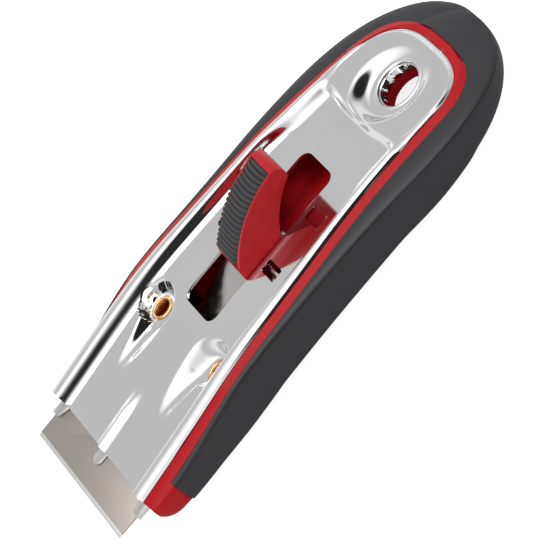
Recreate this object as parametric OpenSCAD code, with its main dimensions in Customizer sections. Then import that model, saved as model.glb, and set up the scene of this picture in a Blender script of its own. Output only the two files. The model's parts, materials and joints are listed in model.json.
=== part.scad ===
// Hob scraper with a retracting blade: pressed steel chassis in a two-colour handle.
// Lengths are in millimetres. In the modules below X runs back from the front edge of
// the top plate, Y across and Z up from the flat floor round the thumb slot. The last
// lines move the whole model so that its origin is the middle of its underside.

/* [Blade] */
// Length of the cutting edge
blade_w = 39; // [36:0.5:39]
// Depth of the blade from cutting edge to back
blade_d = 18; // [17:0.25:18]
// Thickness of the blade
blade_t = 0.3; // [0.2:0.05:0.35]
// How far the cutting edge stands out of the plate
blade_out = 8.4; // [7.5:0.1:9]
// Width of the ground bevel along the cutting edge
bevel_w = 0.9; // [0.5:0.1:1.5]

/* [Handle] */
// How far the grip stands out behind the plate
tail_out = 9.1; // [7:0.1:12]
// Half the width of the handle at the front
front_half_w = 24.2; // [24:0.1:26]
// Half the width of the handle at the waist
waist_half_w = 23.2; // [23.1:0.1:24.5]
// Half the width of the handle at the rear swell
rear_half_w = 23.3; // [22.5:0.1:25]
// How far the grip's shoulder rounds down beside the border
shoulder_h = 1.1; // [0.6:0.1:2.5]
// Depth of the underside below the floor of the slot
under_d = 10.8; // [10.4:0.1:14]
// Wall of the soft grip over the core
grip_t = 1.8; // [1.2:0.1:1.9]
// How far back from the plate the grip starts
nose_l = 6.2; // [4:0.1:9]
// Roundness of the nose under the plate
nose_r = 3.8; // [3:0.1:5.5]
// Length of the underside's upward sweep at the rear
tail_l = 20; // [12:0.5:24]
// Height of that sweep
tail_rise = 5; // [2:0.25:6]
// Width of the red border round the plate
border_w = 2; // [1.2:0.1:2.2]
// How far the red border falls outward
border_fall = 0.6; // [0.3:0.05:0.9]

/* [Top plate] */
// Thickness of the pressed plate
plate_t = 0.5; // [0.3:0.05:0.6]
// Half the width of the plate at the front
plate_half_w = 21.3; // [20.8:0.1:21.6]
// Length of the plate
plate_l = 97.7; // [96:0.1:99]
// Height of the plate's side rims over its floor
rim_h = 1.7; // [1.2:0.1:2.2]
// Slope of the front of the floor in degrees
nose_angle = 6.5; // [4:0.1:6.8]
// Where the floor's bend starts
bend_x = 24; // [22:0.5:26]
// Where the bend ends in the flat round the slot
flat_x = 38; // [34:0.5:42]
// Where the rear of the plate starts to curve down
crown_x = 58; // [54:1:66]
// Radius of the rear curve
crown_r = 180; // [160:5:260]
// Where the floor steps up, in front of the plate's rear end
step_in = 19.7; // [19:0.1:21]

/* [Thumb slot and latch holes] */
// Front end of the thumb slot
slot_x = 31.7; // [31.2:0.1:32.2]
// Length of the thumb slot
slot_l = 35.9; // [35:0.1:36.5]
// Width of the thumb slot
slot_w = 11.8; // [11.7:0.05:12.4]
// Corner radius of the thumb slot
slot_r = 1.5; // [0.5:0.1:3]
// Front edge of the first latch hole
latch_x = 45.7; // [45.2:0.1:46]
// Length of a latch hole
latch_l = 2.8; // [2.4:0.1:3.2]
// Width of a latch hole
latch_w = 5; // [4:0.1:5.2]
// Distance of a latch hole's middle from the centre line
latch_y = 9.7; // [9.5:0.1:10]
// Distance from the first latch hole to the second
latch_pitch = 12.65; // [12:0.05:13]

/* [Rivets and hang hole] */
// Where the eyelets stand
eyelet_x = 26.5; // [26.2:0.1:27]
// Distance of an eyelet from the centre line
eyelet_y = 12.8; // [12.4:0.1:13]
// Bore of an eyelet
eyelet_bore = 3.2; // [2.6:0.1:3.4]
// Diameter of an eyelet's flange
eyelet_flange = 5.2; // [4.8:0.1:5.6]
// How deep the eyelets sit below the slot's floor
eyelet_depth = 3.35; // [2.8:0.05:3.5]
// How far the hang hole is in front of the plate's rear end
hang_in = 9.8; // [9.4:0.1:10.2]
// Diameter of the hang hole
hang_d = 9.4; // [8:0.1:9.6]
// Radius of the dish round the hang hole
dish_r = 9.3; // [8.4:0.1:9.6]
// Depth of the dish below the plate at its middle
dish_depth = 1.5; // [1:0.1:1.8]
// Number of teeth turned down into the hang hole
teeth = 8; // [5:1:12]
// Height of the countersink under the hang hole
sink_h = 3.4; // [2.5:0.1:3.8]

/* [Slide] */
// Level of the top of the blade below the slot's floor
blade_depth = 5; // [4.9:0.05:5.1]
// Thickness of the blade holder
holder_t = 0.4; // [0.3:0.05:0.45]
// Thickness of the spring strip and the latch spring
spring_t = 0.4; // [0.3:0.05:0.4]
// Width of the spring strip
strip_w = 9; // [7:0.5:10]
// How far the slide goes forward to change the blade
change_travel = 10.2; // [9.6:0.1:10.3]
// How far the thumb lever presses down
press_travel = 0.9; // [0.7:0.05:1.1]
// Clearance under and beside sliding metal
slide_gap = 0.3; // [0.2:0.05:0.4]

/* [Thumb lever] */
// Front of the lever where it leaves the slot
lever_x = 42.5; // [42.3:0.1:42.8]
// Length of the lever in the slot
lever_l = 10.1; // [9.8:0.1:10.6]
// Width of the lever in the slot
lever_w = 11.4; // [10.8:0.05:11.5]
// Height of the pad's top edge over the floor
pad_top_z = 10.2; // [9.4:0.1:11]
// Width of the ribbed pad
pad_w = 7.4; // [6.4:0.1:7.8]
// Thickness of the pad
pad_t = 0.9; // [0.6:0.05:1.2]
// Number of ribs on the pad
pad_ribs = 19; // [8:1:24]

/* [Hidden] */
$fn = 48;

// Cut-through allowance
eps = 0.02;
// Length of the handle, and the places of the rear step and the hang hole
handle_l = plate_l + tail_out;
step_x = plate_l - step_in;
hang_x = plate_l - hang_in;
// Rear of the handle swell where its rounded end begins
swell_x = handle_l - 32.8;
// Rear end of the plate's straight sides
plate_end_x = plate_l - 11.7;
// Slope of the front floor and radius of its bend
nose_slope = tan(nose_angle);
bend_r = (flat_x - bend_x) / nose_slope;
// Overall middle along X
mid_x = (handle_l - blade_out) / 2;
// Levels, measured from the floor of the slot
blade_z = -blade_depth;
holder_z = blade_z + holder_t;
strip_z = holder_z + spring_t;
latch_z = strip_z + spring_t;
return_t = 0.3;
base_t = 0.5;
base_z = blade_z - blade_t - return_t - slide_gap;
well_z = base_z - base_t - press_travel + 0.1;
seat_z = -eyelet_depth;
// Side clearance of the blade and its folded ends in the core
holder_half_w = blade_w / 2 + 0.8;
channel_half_w = holder_half_w + slide_gap;
// Back of the blade and of the channel that it draws back into
blade_back = blade_d - blade_out;
channel_back = blade_back + latch_pitch + 1.4;
// Room for the latch spring under the floor
wing_half_w = latch_y + latch_w / 2 + 0.2;
well_half_w = wing_half_w + slide_gap + 0.5;
well_back = slot_x + slot_l + 0.2;
// Room under the eyelet dimples
dimple_back = eyelet_x + 6.6;
dimple_half_w = eyelet_y + 4.6;
// Gap between the plate's edge and the red border
edge_gap = 0.15;
shelf_gap = 0.05;

// Smooth step from 0 at a to 1 at b
function ramp(a, b, v) = let (t = min(1, max(0, (v - a) / (b - a)))) t * t * (3 - 2 * t);

// Height of the middle of the floor, without the rear step
function floor_z(x) =
    x < bend_x ? -pow(flat_x - bend_x, 2) / (2 * bend_r) - (bend_x - x) * nose_slope
    : x < flat_x ? -pow(flat_x - x, 2) / (2 * bend_r)
    : x < crown_x ? 0
    : -pow(x - crown_x, 2) / (2 * crown_r);
function border_z(x) = floor_z(x) + rim_h;

// Rounded rear end: 1 up to start, then down to 0 at finish
function end_round(x, start, finish, n) =
    x <= start ? 1 : x >= finish ? 0 : pow(1 - pow((x - start) / (finish - start), n), 1 / n);

// Half width of the plate before its rear end is rounded
taper_x = 14;
taper_w = 5.9;
function plate_taper(x) =
    plate_half_w - taper_w * pow(max(0, (x - taper_x) / (hang_x + 0.1 - taper_x)), 1.35);
function plate_half(x) = plate_taper(x) * end_round(x, plate_end_x, plate_l, 3);
function border_half(x) =
    (plate_taper(x) + border_w) * end_round(x, plate_end_x, plate_l + border_w, 3);

// Half width of the handle
function handle_half(x) =
    let (w = x < nose_l * 2 ? front_half_w - 0.8 * pow(1 - x / (nose_l * 2), 2)
        : front_half_w + (waist_half_w - front_half_w) * ramp(nose_l * 2, 52, x)
            + (rear_half_w - waist_half_w) * ramp(52, swell_x, x))
    w * end_round(x, swell_x, handle_l + 0.25, 2.5);

// Underside, rounded up at the nose and swept up at the rear end
function under_z(x) =
    let (nose = x < nose_r ? nose_r - sqrt(max(0, nose_r * nose_r - pow(nose_r - x, 2))) : 0,
         r = min(1, max(0, (x - handle_l + tail_l) / tail_l)))
    -under_d + nose + tail_rise * (1 - sqrt(1 - r * r));
function side_r(x) =
    let (s = x / handle_l)
    4 + 2.5 * ramp(0.19, 0.45, s) - 3 * ramp(0.52, 0.75, s) + 3.2 * ramp(0.8, 0.92, s);

// Where lofts are cut along X
nose_xs = [for (a = [0:15:90]) nose_r * (1 - cos(a))];
body_x = nose_l + 3.8;
body_xs = [for (i = [0:18]) body_x + i * (plate_end_x - 4 - body_x) / 18];
plate_end_xs = [for (a = [8:8:80]) plate_end_x + (plate_l + border_w - plate_end_x) * sin(a)];
grip_end_xs = [for (a = [0:15:75]) plate_l + border_w + (tail_out - border_w) * sin(a) / sin(75)];
grip_x = nose_l + 0.05;

// Half of the handle's outer section at x, from the top middle to the bottom middle
function outer_half(x) =
    let (h = handle_half(x), e = max(border_half(x), 0.5 * h), top = border_z(x),
         edge = top - border_fall, low = under_z(x),
         r = min(side_r(x), h * 0.6, (edge - low) * 0.45),
         drop = min(shoulder_h, (edge - low) * 0.5))
    concat([[0, top], [e - border_w, top], [e, edge]],
        [for (a = [18:18:90]) [e + (h - e) * sin(a), edge - drop * (1 - cos(a))]],
        [for (a = [0:15:90]) [h - r + r * cos(a), low + r - r * sin(a)]],
        [[0, low]]);

// Half of the core's section where the grip covers it; lift raises its top for cutting
function core_half(x, lift = 0) =
    let (h = min(border_half(x), handle_half(x) - grip_t), e = border_half(x),
         top = border_z(x), edge = top - border_fall, low = under_z(x) + grip_t,
         r = min(2.4, h * 0.6, edge - 2.5 - low))
    concat([[0, top + lift], [max(e - border_w, 0.4 * e), top + lift], [e, edge + lift]],
        [[e, edge], [h + (e - h) * 0.6, edge - 0.5], [h + (e - h) * 0.2, edge - 1],
         [h, edge - 1.4], [h, edge - 2.4]],
        [for (a = [0:15:90]) [h - r + r * cos(a), low + r - r * sin(a)]],
        [[0, low]]);
function core_solid_half(x) =
    let (p = core_half(x))
    concat([p[0], p[1], p[2]], [p[2] + [0, -0.1]], [for (i = [4:len(p) - 1]) p[i]]);

// A closed section at x from its half
function section(x, half) =
    let (n = len(half))
    concat([for (p = half) [x, p[0], p[1]]],
        [for (i = [n - 2:-1:1]) [x, -half[i][0], half[i][1]]]);

module loft(sections) {
    n = len(sections[0]);
    m = len(sections);
    polyhedron(
        points = [for (s = sections) for (p = s) p],
        faces = concat(
            [for (j = [1:n - 2]) [0, j + 1, j]],
            [for (j = [1:n - 2]) let (a = (m - 1) * n) [a, a + j, a + j + 1]],
            [for (i = [0:m - 2]) for (j = [0:n - 1]) let (k = (j + 1) % n)
                [i * n + j, i * n + k, (i + 1) * n + j]],
            [for (i = [0:m - 2]) for (j = [0:n - 1]) let (k = (j + 1) % n)
                [i * n + k, (i + 1) * n + k, (i + 1) * n + j]]),
        convexity = 6);
}

// A solid between two sheets of points, both as rows of equal length
module sheet(upper, lower) {
    n = len(upper[0]);
    m = len(upper);
    s = n * m;
    rows = [for (r = upper) for (p = r) p];
    under = [for (r = lower) for (p = r) p];
    polyhedron(
        points = concat(rows, under),
        faces = concat(
            [for (i = [0:m - 2]) for (j = [0:n - 2]) let (a = i * n + j) [a, a + 1, a + n]],
            [for (i = [0:m - 2]) for (j = [0:n - 2]) let (a = i * n + j) [a + 1, a + n + 1, a + n]],
            [for (i = [0:m - 2]) for (j = [0:n - 2]) let (a = s + i * n + j) [a, a + n, a + 1]],
            [for (i = [0:m - 2]) for (j = [0:n - 2]) let (a = s + i * n + j)
                [a + 1, a + n, a + n + 1]],
            [for (j = [0:n - 2]) [j, s + j, s + j + 1]],
            [for (j = [0:n - 2]) [j, s + j + 1, j + 1]],
            [for (j = [0:n - 2]) let (a = (m - 1) * n + j) [a, a + 1, s + a + 1]],
            [for (j = [0:n - 2]) let (a = (m - 1) * n + j) [a, s + a + 1, s + a]],
            [for (i = [0:m - 2]) let (a = i * n) [a, a + n, s + a + n]],
            [for (i = [0:m - 2]) let (a = i * n) [a, s + a + n, s + a]],
            [for (i = [0:m - 2]) let (a = i * n + n - 1) [a, s + a, s + a + n]],
            [for (i = [0:m - 2]) let (a = i * n + n - 1) [a, s + a + n, a + n]]),
        convexity = 8);
}

// The pressed floor
rib_l = 14.5;
rib_half_w = 2;
rib_h = 0.8;
dimple_flat = 3.6;
dimple_in = 5.6;
dimple_side = 1.7;
dimple_front = 14;
dimple_rear = 5.3;
function step_up(x) = ramp(step_x - 1.6, step_x + 1.6, x) * rim_h;
function foot_half(x) = 15 + 0.357 * (plate_taper(x) - 17.1);
function rib_z(x, y) = rib_h * (1 - ramp(rib_l * 0.5, rib_l, x)) * (1 - ramp(0, rib_half_w, y));
function dimple(x, y) =
    let (u = eyelet_x - x, f = max(0, u) / dimple_front,
         yc = eyelet_y - 4 * f,
         flat_w = (y > yc ? dimple_flat : dimple_in) * (1 - 0.75 * min(1, f)),
         along = u > 0 ? 1 - ramp(dimple_flat, dimple_front, u)
             : 1 - ramp(dimple_flat, dimple_rear, -u),
         across = 1 - ramp(flat_w, flat_w + dimple_side, abs(y - yc)))
    along * across;
dish_flat = 6.4;
dish_x = hang_x - 0.9;
dish_z = floor_z(hang_x) + rim_h - dish_depth;
function dish(x, y) =
    let (c = dish_x + (hang_x - dish_x) * (1 - ramp(0, dish_r, norm([x - dish_x, y]))))
    1 - ramp(dish_flat, dish_r, norm([x - c, y]));
function pressed_z(x, y) =
    let (z = floor_z(x) + step_up(x) + rib_z(x, y), d = dimple(x, y), h = dish(x, y))
    z + (seat_z - z) * d + (dish_z - z) * h;

// Half of the plate's upper section at x
floor_cuts = 13;
function plate_half_section(x) =
    let (f = min(foot_half(x), plate_half(x) * 0.9), w = plate_half(x) - f,
         base = floor_z(x) + step_up(x), h = rim_h - step_up(x),
         crest = 0.12 + 0.26 * (h / rim_h), sag = 0.5 * ramp(plate_l - 1.5, plate_l, x))
    concat([for (i = [0:floor_cuts]) let (y = f * i / floor_cuts) [y, pressed_z(x, y) - sag]],
        [for (p = [[0.1, 0.1, 0], [0.18, 0.45, 0], [0.26, 0.8, 0.1], [0.36, 1, 0.6],
                   [0.52, 1, 1], [0.72, 1, 0.8], [0.9, 1, 0.1]])
            [f + w * p[0], base + h * p[1] + crest * p[2] - sag]],
        [[f + w, base + h - 0.28 - sag], [f + w, base + h - 0.85 - sag]]);

// The same line moved down by the sheet's thickness, square to the section
function moved_in(half, t) =
    [for (i = [0:len(half) - 1])
        let (a = half[max(0, i - 1)], b = half[min(len(half) - 1, i + 1)],
             d = i == 0 ? [1, 0] : (b - a) / norm(b - a))
        [half[i][0] + t * d[1], half[i][1] - t * d[0]]];

function mirrored_row(x, half) =
    concat([for (i = [len(half) - 1:-1:1]) [x, -half[i][0], half[i][1]]],
        [for (p = half) [x, p[0], p[1]]]);

plate_xs = concat([for (i = [0:5]) i * 2.2],
    [for (i = [0:16]) 12.4 + i * 1.25],
    [for (i = [0:7]) slot_x + 4.3 + i * (step_x - slot_x - 7.3) / 7],
    [for (i = [-2:3]) step_x + i * 0.75],
    [for (i = [0:11]) step_x + 3.4 + (plate_l - 0.15 - step_x - 3.4) * sin(i * 90 / 11)]);

// Outline of the thumb slot with true round corners
module slot_cut(low, high) {
    translate([0, 0, low]) linear_extrude(high - low) {
        translate([slot_x + slot_r, -slot_w / 2]) square([slot_l - 2 * slot_r, slot_w]);
        translate([slot_x, -slot_w / 2 + slot_r]) square([slot_l, slot_w - 2 * slot_r]);
        for (x = [slot_x + slot_r, slot_x + slot_l - slot_r])
            for (s = [-1, 1])
                translate([x, s * (slot_w / 2 - slot_r)]) circle(slot_r);
    }
}

module latch_holes() {
    for (i = [0, 1])
        for (s = [-1, 1])
            translate([latch_x + i * latch_pitch, s * latch_y - latch_w / 2, -3])
                cube([latch_l, latch_w, 4]);
}

hang_r = hang_d / 2;
collar_w = 1.2;

// Rounded edge of the hang hole, turned down into a ring of teeth
tooth_top = dish_z - 0.9;
tooth_l = 1.7;
module hang_collar() {
    translate([hang_x, 0, dish_z]) rotate_extrude()
        polygon([[hang_r + collar_w, -plate_t], [hang_r + collar_w, 0], [hang_r + 0.6, 0.12],
            [hang_r + 0.2, 0], [hang_r, -0.35], [hang_r, -1], [hang_r + plate_t, -1],
            [hang_r + plate_t, -plate_t]]);
    translate([hang_x, 0, tooth_top - tooth_l]) difference() {
        cylinder(r = hang_r + 0.4, h = tooth_l + 0.1);
        translate([0, 0, -1]) cylinder(r = hang_r, h = tooth_l + 2);
        for (i = [0:teeth - 1])
            rotate([0, 0, 360 / teeth * i]) rotate([90, 0, 90])
                linear_extrude(hang_d)
                    polygon([[-1.5, -1], [1.5, -1], [0.15, tooth_l - 0.2], [-0.15, tooth_l - 0.2]]);
    }
}

module top_plate() {
    uppers = [for (x = plate_xs) mirrored_row(x, plate_half_section(x))];
    lowers = [for (x = plate_xs)
        mirrored_row(x, moved_in(plate_half_section(x), plate_t))];
    color("gainsboro") {
        difference() {
            sheet(uppers, lowers);
            slot_cut(-2, 2);
            latch_holes();
            for (s = [-1, 1])
                translate([eyelet_x, s * eyelet_y, seat_z - 2])
                    cylinder(d = eyelet_bore + 0.8, h = 4);
            translate([hang_x, 0, dish_z - 2]) cylinder(r = hang_r + collar_w / 2, h = 4);
        }
        hang_collar();
    }
}

// Lower steel plate; its pressed-up pads meet the dimples of the top plate
module base_plate() {
    pad_r = 3.2;
    front_x = 0.4;
    color("silver") difference() {
        union() {
            translate([front_x, -channel_half_w + 0.1, base_z - base_t])
                cube([channel_back - front_x, 2 * channel_half_w - 0.2, base_t]);
            translate([channel_back - eps, -dimple_half_w + 0.1, base_z - base_t])
                cube([dimple_back - channel_back, 2 * dimple_half_w - 0.2, base_t]);
            for (s = [-1, 1])
                translate([eyelet_x, s * eyelet_y, base_z - base_t])
                    cylinder(r = pad_r, h = seat_z - plate_t - base_z + base_t);
        }
        for (s = [-1, 1])
            translate([eyelet_x, s * eyelet_y, base_z - base_t - 1])
                cylinder(d = eyelet_bore + 0.8, h = 8);
    }
}

module eyelets() {
    shank_r = eyelet_bore / 2 + 0.35;
    low = base_z - base_t;
    color("goldenrod") for (s = [-1, 1])
        translate([eyelet_x, s * eyelet_y, 0]) rotate_extrude()
            polygon([[eyelet_bore / 2, low - 0.3], [eyelet_flange / 2, low - 0.3],
                [eyelet_flange / 2, low], [shank_r, low], [shank_r, seat_z],
                [eyelet_flange / 2, seat_z], [eyelet_flange / 2, seat_z + 0.15],
                [eyelet_flange / 2 - 0.3, seat_z + 0.3], [eyelet_bore / 2 + 0.2, seat_z + 0.3],
                [eyelet_bore / 2, seat_z + 0.1]]);
}

// Outline of the recess that the plate lies in
module plate_outline(gap) {
    xs = concat([-2], [for (x = plate_xs) x], [plate_l + gap]);
    side = [for (x = xs) [x, plate_half(min(x, plate_l - 0.15)) + gap]];
    polygon(concat(side, [for (i = [len(side) - 1:-1:0]) [side[i][0], -side[i][1]]]));
}

// Room over the shelf that carries the plate
module plate_recess() {
    rear = plate_l + border_w;
    xs = concat([-2], plate_xs, [rear]);
    intersection() {
        translate([0, 0, -12]) linear_extrude(24) plate_outline(edge_gap);
        rotate([90, 0, 0]) translate([0, 0, -30]) linear_extrude(60)
            polygon(concat(
                [for (x = xs) [x, floor_z(x) + step_up(x) - plate_t - shelf_gap]],
                [[rear, 9], [-2, 9]]));
    }
}

// Countersink under the hang hole
module hang_sink() {
    slope = (dish_r - hang_r) / sink_h;
    translate([hang_x, 0, -under_d - 0.1])
        cylinder(r1 = dish_r + 0.1 * slope, r2 = hang_r - 0.3 * slope, h = sink_h + 0.4);
}

module handle_core() {
    color("firebrick") difference() {
        loft(concat(
            [for (x = concat(nose_xs, [nose_l])) section(x + eps * (x == 0 ? 1 : 0), outer_half(x))],
            [for (x = concat([grip_x], body_xs, plate_end_xs)) section(x, core_solid_half(x))]));
        plate_recess();
        // Channel for the blade and its holder
        translate([-1, -channel_half_w, base_z - base_t])
            cube([channel_back + 1, 2 * channel_half_w, under_d]);
        // Room for the eyelet pads and dimples
        translate([channel_back - 1, -dimple_half_w, base_z - base_t])
            cube([dimple_back - channel_back + 1, 2 * dimple_half_w, under_d]);
        // Well for the latch spring and the strip as the lever goes down
        translate([dimple_back - 1, -well_half_w, well_z])
            cube([well_back - dimple_back + 1, 2 * well_half_w, under_d]);
        for (s = [-1, 1])
            translate([eyelet_x, s * eyelet_y, base_z - base_t - 0.6])
                cylinder(d = eyelet_flange + 0.8, h = 1);
        translate([hang_x, 0, -under_d - 1]) cylinder(r = hang_r, h = under_d + 6);
        // Room for the dish and the ring of teeth
        translate([dish_x, 0, dish_z - plate_t - 0.1]) cylinder(r = dish_r - 0.3, h = 6);
        translate([hang_x, 0, tooth_top - tooth_l - 0.2]) cylinder(r = hang_r + 0.6, h = 6);
        hang_sink();
    }
}

module grip() {
    color([0.2, 0.2, 0.22]) difference() {
        loft([for (x = concat([grip_x], body_xs, plate_end_xs, grip_end_xs))
            section(x, outer_half(x))]);
        loft([for (x = concat([grip_x - 2], [grip_x], body_xs, plate_end_xs))
            section(x, core_half(x, 12))]);
        hang_sink();
    }
}

module razor_blade() {
    color([0.55, 0.53, 0.5]) difference() {
        translate([-blade_out, blade_w / 2, blade_z]) rotate([90, 0, 0])
            linear_extrude(blade_w)
                polygon([[0, -blade_t], [blade_d, -blade_t], [blade_d, 0], [bevel_w, 0],
                    [0, -blade_t + 0.04]]);
        translate([lug_x, 0, blade_z - 1]) cylinder(d = lug_d + 0.1, h = 2);
    }
}

lug_x = 4.6;
lug_d = 2.8;
finger_l = 3.2;
finger_w = 2.9;
rivet_xs = [blade_back - 1, blade_back + 2.2];
rivet_d = 2;
holder_front = 0.8;
holder_tail = blade_back + 4.2;
tail_half_w = strip_w / 2 + 1.5;

// Steel sheet over the blade: two folded corner fingers, a middle tongue and a lug
module blade_holder() {
    tongue_w = 3;
    half = blade_w / 2;
    outer = holder_half_w;
    color("silver") difference() {
        union() {
            translate([0, 0, blade_z]) linear_extrude(holder_t) {
                translate([holder_front, -outer]) square([blade_back - holder_front, 2 * outer]);
                translate([blade_back - eps, -tail_half_w])
                    square([holder_tail - blade_back, 2 * tail_half_w]);
                for (s = [-1, 1])
                    scale([1, s]) polygon([[holder_front + eps, outer], [-finger_l, outer],
                        [-finger_l, outer - 1.3], [-finger_l + 0.3, outer - finger_w + 0.4],
                        [-0.4, outer - finger_w - 0.5], [holder_front + eps,
                        outer - finger_w - 0.5]]);
                translate([-finger_l + tongue_w / 2, -tongue_w / 2])
                    square([holder_front + finger_l - tongue_w / 2 + eps, tongue_w]);
                translate([-finger_l + tongue_w / 2, 0]) circle(d = tongue_w);
            }
            for (s = [-1, 1]) scale([1, s, 1]) {
                translate([-finger_l, half + 0.1, blade_z - blade_t - return_t])
                    cube([finger_l + blade_back, outer - half - 0.1,
                        holder_t + blade_t + return_t]);
                translate([-finger_l + 0.6, outer - finger_w, blade_z - blade_t - return_t])
                    cube([finger_l + blade_back - 0.6, finger_w, return_t]);
            }
            translate([lug_x, 0, blade_z - blade_t]) cylinder(d = lug_d, h = blade_t + eps);
        }
        for (x = rivet_xs)
            translate([x, 0, blade_z - 1]) cylinder(d = rivet_d, h = 3);
    }
}

// Thin sprung strip from the holder to the lever
strip_back = lever_x + lever_l + 0.6;
lever_rivet_xs = [lever_x + 3.1, lever_x + lever_l - 2.6];
lever_rivet_d = 2.4;
module spring_strip() {
    color("darkgray") difference() {
        translate([rivet_xs[0] - 2.4, -strip_w / 2, holder_z])
            cube([strip_back - rivet_xs[0] + 2.4, strip_w, spring_t]);
        for (x = rivet_xs)
            translate([x, 0, holder_z - 1]) cylinder(d = rivet_d, h = 3);
        for (x = lever_rivet_xs)
            translate([x, 0, holder_z - 1]) cylinder(d = lever_rivet_d + 0.2, h = 3);
    }
}

module holder_rivets() {
    head_r = 1.6;
    color("silver") for (x = rivet_xs)
        translate([x, 0, 0]) rotate_extrude()
            polygon([[0, blade_z - (x < blade_back ? 0 : 0.25)],
                [x < blade_back ? rivet_d / 2 : head_r, blade_z - (x < blade_back ? 0 : 0.25)],
                [x < blade_back ? rivet_d / 2 : head_r, blade_z],
                [rivet_d / 2, blade_z], [rivet_d / 2, strip_z], [head_r, strip_z],
                [head_r - 0.2, strip_z + 0.2], [0, strip_z + 0.2]]);
}

// Curve of the pad: an arc from the foot to the top edge of the lever's face
pad_foot = [lever_x + 0.6, 1.9];
pad_head = [lever_x + 18.1, pad_top_z];
pad_r = 27.7;
pad_chord = pad_head - pad_foot;
pad_mid = (pad_foot + pad_head) / 2;
pad_side = [pad_chord[1], -pad_chord[0]] / norm(pad_chord);
pad_centre = pad_mid + pad_side * sqrt(pad_r * pad_r - pow(norm(pad_chord) / 2, 2));
pad_a0 = atan2(pad_foot[1] - pad_centre[1], pad_foot[0] - pad_centre[0]);
pad_a1 = atan2(pad_head[1] - pad_centre[1], pad_head[0] - pad_centre[0]);
function pad_point(a, r) = pad_centre + r * [cos(a), sin(a)];

// Curve of the lever's back
back_foot = [lever_x + lever_l, 0];
back_head = [lever_x + 20.1, pad_top_z - 3.3];
back_chord = back_head - back_foot;
back_side = [back_chord[1], -back_chord[0]] / norm(back_chord);
back_r = 25;
back_centre = (back_foot + back_head) / 2
    + back_side * sqrt(back_r * back_r - pow(norm(back_chord) / 2, 2));
back_a0 = atan2(back_head[1] - back_centre[1], back_head[0] - back_centre[0]);
back_a1 = atan2(back_foot[1] - back_centre[1], back_foot[0] - back_centre[0]);

module lever_profile() {
    nose_c = [pad_head[0] + 0.35, pad_top_z - 1.9];
    polygon(concat(
        [[lever_x, latch_z], [lever_x, 0.2]],
        [for (i = [0:12]) pad_point(pad_a0 + (pad_a1 - pad_a0) * i / 12, pad_r)],
        [for (a = [75:-15:-30]) nose_c + 1.9 * [cos(a), sin(a)]],
        [for (i = [0:8]) let (a = back_a0 + (back_a1 - back_a0) * i / 8)
            back_centre + back_r * [cos(a), sin(a)]],
        [[lever_x + lever_l, latch_z]]));
}

// Band of the lever's face that the pad fills
module pad_band(margin) {
    polygon(concat(
        [for (i = [0:16]) pad_point(pad_a0 + (pad_a1 - pad_a0) * i / 16, pad_r + margin)],
        [for (i = [16:-1:0]) pad_point(pad_a0 + (pad_a1 - pad_a0) * i / 16, pad_r - pad_t)]));
}

// Ribbed outline of the pad: each rib is a small tooth over the band
module pad_ribbed() {
    step = (pad_a1 - pad_a0) / pad_ribs;
    rib = 0.3;
    polygon(concat(
        [for (i = [0:pad_ribs - 1]) each [
            pad_point(pad_a0 + step * i, pad_r - 0.15),
            pad_point(pad_a0 + step * (i + 0.25), pad_r + rib),
            pad_point(pad_a0 + step * (i + 0.7), pad_r + rib),
            pad_point(pad_a0 + step * (i + 0.95), pad_r - 0.15)]],
        [for (i = [16:-1:0]) pad_point(pad_a0 + (pad_a1 - pad_a0) * i / 16, pad_r - pad_t)]));
}

module along_y(w) {
    rotate([90, 0, 0]) translate([0, 0, -w / 2]) linear_extrude(w) children();
}

module thumb_lever() {
    half = lever_w / 2;
    top_half = pad_w / 2 + 0.45;
    color("red") difference() {
        intersection() {
            along_y(lever_w) lever_profile();
            translate([lever_x - 1, 0, 0]) rotate([90, 0, 90]) linear_extrude(24)
                polygon([[-half, -6], [half, -6], [half, 0.4], [half - 0.8, 2.2],
                    [top_half + 0.15, 5], [top_half, 12], [-top_half, 12],
                    [-top_half - 0.15, 5], [-half + 0.8, 2.2], [-half, 0.4]]);
        }
        along_y(pad_w) pad_band(1);
        for (x = lever_rivet_xs)
            translate([x, 0, latch_z - 1]) cylinder(d = lever_rivet_d, h = 3);
    }
}

module thumb_pad() {
    color([0.25, 0.25, 0.26]) along_y(pad_w) pad_ribbed();
}

// Latch spring under the lever: two arms, each with a tongue that rises into a latch hole
module latch_spring() {
    tongue_w = latch_w - 0.6;
    arm_x = lever_x + 0.2;
    tip = [latch_x + latch_l * 0.62, -0.12];
    root = [arm_x + 1.2, latch_z];
    d = (tip - root) / norm(tip - root);
    n = [-d[1], d[0]] * spring_t;
    color("lightgray") difference() {
        union() {
            translate([arm_x, -lever_w / 2 + 0.4, strip_z])
                cube([lever_l - 0.4, lever_w - 0.8, spring_t]);
            translate([arm_x, -wing_half_w + 0.3, strip_z])
                cube([2.4, 2 * wing_half_w - 0.6, spring_t]);
            for (s = [-1, 1])
                translate([0, s * latch_y, 0]) along_y(tongue_w)
                    polygon([root - [0, spring_t], root + [0.7, -spring_t], tip - n * 0.9,
                        tip, root]);
        }
        for (x = lever_rivet_xs)
            translate([x, 0, strip_z - 1]) cylinder(d = lever_rivet_d, h = 3);
    }
}

module lever_rivets() {
    head_r = 2;
    color("silver") for (x = lever_rivet_xs)
        translate([x, 0, 0]) rotate_extrude()
            polygon([[0, holder_z - 0.35], [head_r - 0.3, holder_z - 0.35],
                [head_r, holder_z - 0.1], [head_r, holder_z],
                [lever_rivet_d / 2, holder_z], [lever_rivet_d / 2, latch_z + 1.8],
                [0, latch_z + 1.8]]);
}

module placed() {
    translate([-mid_x, 0, under_d]) children();
}

placed() top_plate();
placed() base_plate();
placed() eyelets();
placed() handle_core();
placed() grip();
placed() blade_holder();
placed() razor_blade();
placed() spring_strip();
placed() holder_rivets();
placed() thumb_lever();
placed() thumb_pad();
placed() latch_spring();
placed() lever_rivets();
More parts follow.
